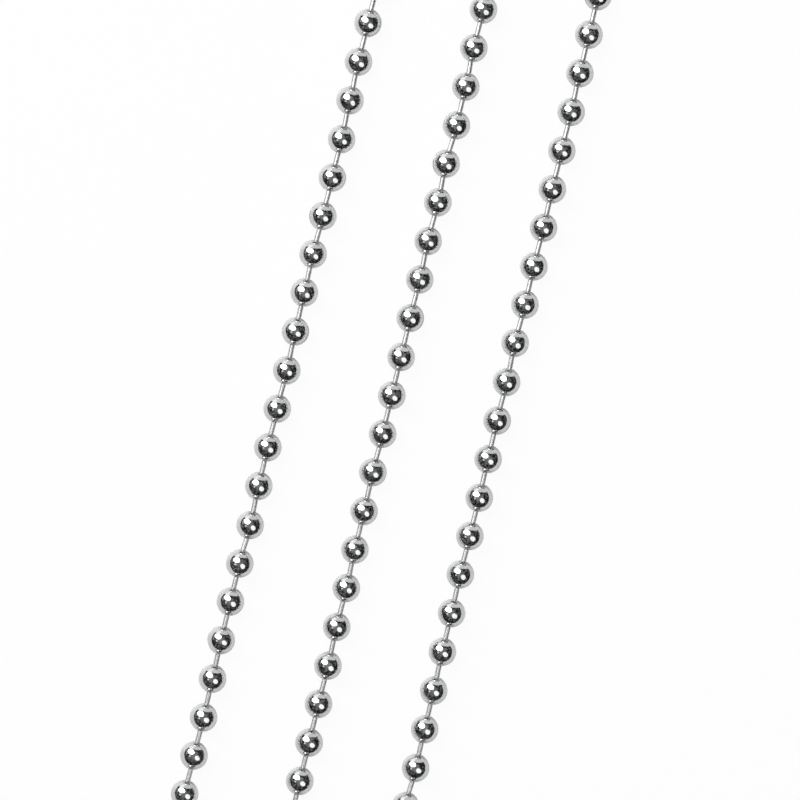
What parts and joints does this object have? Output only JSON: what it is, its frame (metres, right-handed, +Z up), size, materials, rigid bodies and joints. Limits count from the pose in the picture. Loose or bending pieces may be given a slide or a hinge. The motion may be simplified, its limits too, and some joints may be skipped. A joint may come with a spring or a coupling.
{
  "type": "roller blind chain",
  "caption": "Metal ball chain for working a roller blind: hollow round steel beads strung on short headed pins, laid flat in three parallel runs with two return bends.",
  "frame": {"origin": "under the middle bead of the middle run, on the surface that the chain lies on", "axes": "+Y along the runs, +X across them, +Z up from the surface"},
  "size_m": [0.0402, 0.1726, 0.0045],
  "materials": {
    "polished_steel": "bright polished stainless steel with faint forming marks"
  },
  "bodies": {
    "middle": {"middle_links": "polished_steel"},
    "left_01": {"left_links_01": "polished_steel"},
    "left_02": {"left_links_02": "polished_steel"},
    "left_03": {"left_links_03": "polished_steel"},
    "left_04": {"left_links_04": "polished_steel"},
    "left_05": {"left_links_05": "polished_steel"},
    "left_06": {"left_links_06": "polished_steel"},
    "left_07": {"left_links_07": "polished_steel"},
    "left_08": {"left_links_08": "polished_steel"},
    "left_09": {"left_links_09": "polished_steel"},
    "left_10": {"left_links_10": "polished_steel"},
    "left_11": {"left_links_11": "polished_steel"},
    "left_12": {"left_links_12": "polished_steel"},
    "left_13": {"left_links_13": "polished_steel"},
    "left_14": {"left_links_14": "polished_steel"},
    "left_15": {"left_links_15": "polished_steel"},
    "left_16": {"left_links_16": "polished_steel"},
    "left_17": {"left_links_17": "polished_steel"},
    "left_18": {"left_links_18": "polished_steel"},
    "left_19": {"left_links_19": "polished_steel"},
    "left_20": {"left_links_20": "polished_steel"},
    "right_01": {"right_links_01": "polished_steel"},
    "right_02": {"right_links_02": "polished_steel"},
    "right_03": {"right_links_03": "polished_steel"},
    "right_04": {"right_links_04": "polished_steel"},
    "right_05": {"right_links_05": "polished_steel"},
    "right_06": {"right_links_06": "polished_steel"},
    "right_07": {"right_links_07": "polished_steel"},
    "right_08": {"right_links_08": "polished_steel"},
    "right_09": {"right_links_09": "polished_steel"},
    "right_10": {"right_links_10": "polished_steel"},
    "right_11": {"right_links_11": "polished_steel"},
    "right_12": {"right_links_12": "polished_steel"},
    "right_13": {"right_links_13": "polished_steel"},
    "right_14": {"right_links_14": "polished_steel"},
    "right_15": {"right_links_15": "polished_steel"},
    "right_16": {"right_links_16": "polished_steel"},
    "right_17": {"right_links_17": "polished_steel"},
    "right_18": {"right_links_18": "polished_steel"},
    "right_19": {"right_links_19": "polished_steel"},
    "right_20": {"right_links_20": "polished_steel"}
  },
  "joints": [
    {"name": "left_pivot_01", "type": "hinge", "parent": "middle", "child": "left_01", "pos_m": [0, 0.00446, 0.00225], "axis": [1, 0, 0], "range_deg": [-24, 24]},
    {"name": "left_pivot_02", "type": "hinge", "parent": "left_01", "child": "left_02", "pos_m": [0, 0.01726, 0.00225], "axis": [-1, 0, 0], "range_deg": [-24, 24]},
    {"name": "left_pivot_03", "type": "hinge", "parent": "left_02", "child": "left_03", "pos_m": [0, 0.03006, 0.00225], "axis": [1, 0, 0], "range_deg": [-24, 24]},
    {"name": "left_pivot_04", "type": "hinge", "parent": "left_03", "child": "left_04", "pos_m": [0, 0.04286, 0.00225], "axis": [-1, 0, 0], "range_deg": [-24, 24]},
    {"name": "left_pivot_05", "type": "hinge", "parent": "left_04", "child": "left_05", "pos_m": [0, 0.05566, 0.00225], "axis": [1, 0, 0], "range_deg": [-24, 24]},
    {"name": "left_pivot_06", "type": "hinge", "parent": "left_05", "child": "left_06", "pos_m": [0, 0.06846, 0.00225], "axis": [-0.9975, 0.0702, 0], "range_deg": [-23, 23]},
    {"name": "left_pivot_07", "type": "hinge", "parent": "left_06", "child": "left_07", "pos_m": [-0.00146, 0.08078, 0.00225], "axis": [0.6323, 0.7747, 0], "range_deg": [-14, 14]},
    {"name": "left_pivot_08", "type": "hinge", "parent": "left_07", "child": "left_08", "pos_m": [-0.01309, 0.08324, 0.00225], "axis": [0.6323, -0.7747, 0], "range_deg": [-14, 14]},
    {"name": "left_pivot_09", "type": "hinge", "parent": "left_08", "child": "left_09", "pos_m": [-0.01782, 0.07233, 0.00225], "axis": [-0.9975, -0.0702, 0], "range_deg": [-23, 23]},
    {"name": "left_pivot_10", "type": "hinge", "parent": "left_09", "child": "left_10", "pos_m": [-0.01755, 0.05954, 0.00225], "axis": [1, 0, 0], "range_deg": [-24, 24]},
    {"name": "left_pivot_11", "type": "hinge", "parent": "left_10", "child": "left_11", "pos_m": [-0.01755, 0.04674, 0.00225], "axis": [-1, 0, 0], "range_deg": [-24, 24]},
    {"name": "left_pivot_12", "type": "hinge", "parent": "left_11", "child": "left_12", "pos_m": [-0.01755, 0.03394, 0.00225], "axis": [1, 0, 0], "range_deg": [-24, 24]},
    {"name": "left_pivot_13", "type": "hinge", "parent": "left_12", "child": "left_13", "pos_m": [-0.01755, 0.02114, 0.00225], "axis": [-1, 0, 0], "range_deg": [-24, 24]},
    {"name": "left_pivot_14", "type": "hinge", "parent": "left_13", "child": "left_14", "pos_m": [-0.01755, 0.00834, 0.00225], "axis": [1, 0, 0], "range_deg": [-24, 24]},
    {"name": "left_pivot_15", "type": "hinge", "parent": "left_14", "child": "left_15", "pos_m": [-0.01755, -0.00446, 0.00225], "axis": [-1, 0, 0], "range_deg": [-24, 24]},
    {"name": "left_pivot_16", "type": "hinge", "parent": "left_15", "child": "left_16", "pos_m": [-0.01755, -0.01726, 0.00225], "axis": [1, 0, 0], "range_deg": [-24, 24]},
    {"name": "left_pivot_17", "type": "hinge", "parent": "left_16", "child": "left_17", "pos_m": [-0.01755, -0.03006, 0.00225], "axis": [-1, 0, 0], "range_deg": [-24, 24]},
    {"name": "left_pivot_18", "type": "hinge", "parent": "left_17", "child": "left_18", "pos_m": [-0.01755, -0.04286, 0.00225], "axis": [1, 0, 0], "range_deg": [-24, 24]},
    {"name": "left_pivot_19", "type": "hinge", "parent": "left_18", "child": "left_19", "pos_m": [-0.01755, -0.05566, 0.00225], "axis": [-1, 0, 0], "range_deg": [-24, 24]},
    {"name": "left_pivot_20", "type": "hinge", "parent": "left_19", "child": "left_20", "pos_m": [-0.01755, -0.06846, 0.00225], "axis": [1, 0, 0], "range_deg": [-24, 24]},
    {"name": "right_pivot_01", "type": "hinge", "parent": "middle", "child": "right_01", "pos_m": [0, -0.00446, 0.00225], "axis": [-1, 0, 0], "range_deg": [-24, 24]},
    {"name": "right_pivot_02", "type": "hinge", "parent": "right_01", "child": "right_02", "pos_m": [0, -0.01726, 0.00225], "axis": [1, 0, 0], "range_deg": [-24, 24]},
    {"name": "right_pivot_03", "type": "hinge", "parent": "right_02", "child": "right_03", "pos_m": [0, -0.03006, 0.00225], "axis": [-1, 0, 0], "range_deg": [-24, 24]},
    {"name": "right_pivot_04", "type": "hinge", "parent": "right_03", "child": "right_04", "pos_m": [0, -0.04286, 0.00225], "axis": [1, 0, 0], "range_deg": [-24, 24]},
    {"name": "right_pivot_05", "type": "hinge", "parent": "right_04", "child": "right_05", "pos_m": [0, -0.05566, 0.00225], "axis": [-1, 0, 0], "range_deg": [-24, 24]},
    {"name": "right_pivot_06", "type": "hinge", "parent": "right_05", "child": "right_06", "pos_m": [0, -0.06846, 0.00225], "axis": [0.9975, -0.0702, 0], "range_deg": [-23, 23]},
    {"name": "right_pivot_07", "type": "hinge", "parent": "right_06", "child": "right_07", "pos_m": [0.00146, -0.08078, 0.00225], "axis": [-0.6323, -0.7747, 0], "range_deg": [-14, 14]},
    {"name": "right_pivot_08", "type": "hinge", "parent": "right_07", "child": "right_08", "pos_m": [0.01309, -0.08324, 0.00225], "axis": [-0.6323, 0.7747, 0], "range_deg": [-14, 14]},
    {"name": "right_pivot_09", "type": "hinge", "parent": "right_08", "child": "right_09", "pos_m": [0.01782, -0.07233, 0.00225], "axis": [0.9975, 0.0702, 0], "range_deg": [-23, 23]},
    {"name": "right_pivot_10", "type": "hinge", "parent": "right_09", "child": "right_10", "pos_m": [0.01755, -0.05954, 0.00225], "axis": [-1, 0, 0], "range_deg": [-24, 24]},
    {"name": "right_pivot_11", "type": "hinge", "parent": "right_10", "child": "right_11", "pos_m": [0.01755, -0.04674, 0.00225], "axis": [1, 0, 0], "range_deg": [-24, 24]},
    {"name": "right_pivot_12", "type": "hinge", "parent": "right_11", "child": "right_12", "pos_m": [0.01755, -0.03394, 0.00225], "axis": [-1, 0, 0], "range_deg": [-24, 24]},
    {"name": "right_pivot_13", "type": "hinge", "parent": "right_12", "child": "right_13", "pos_m": [0.01755, -0.02114, 0.00225], "axis": [1, 0, 0], "range_deg": [-24, 24]},
    {"name": "right_pivot_14", "type": "hinge", "parent": "right_13", "child": "right_14", "pos_m": [0.01755, -0.00834, 0.00225], "axis": [-1, 0, 0], "range_deg": [-24, 24]},
    {"name": "right_pivot_15", "type": "hinge", "parent": "right_14", "child": "right_15", "pos_m": [0.01755, 0.00446, 0.00225], "axis": [1, 0, 0], "range_deg": [-24, 24]},
    {"name": "right_pivot_16", "type": "hinge", "parent": "right_15", "child": "right_16", "pos_m": [0.01755, 0.01726, 0.00225], "axis": [-1, 0, 0], "range_deg": [-24, 24]},
    {"name": "right_pivot_17", "type": "hinge", "parent": "right_16", "child": "right_17", "pos_m": [0.01755, 0.03006, 0.00225], "axis": [1, 0, 0], "range_deg": [-24, 24]},
    {"name": "right_pivot_18", "type": "hinge", "parent": "right_17", "child": "right_18", "pos_m": [0.01755, 0.04286, 0.00225], "axis": [-1, 0, 0], "range_deg": [-24, 24]},
    {"name": "right_pivot_19", "type": "hinge", "parent": "right_18", "child": "right_19", "pos_m": [0.01755, 0.05566, 0.00225], "axis": [1, 0, 0], "range_deg": [-24, 24]},
    {"name": "right_pivot_20", "type": "hinge", "parent": "right_19", "child": "right_20", "pos_m": [0.01755, 0.06846, 0.00225], "axis": [-1, 0, 0], "range_deg": [-24, 24]}
  ]
}
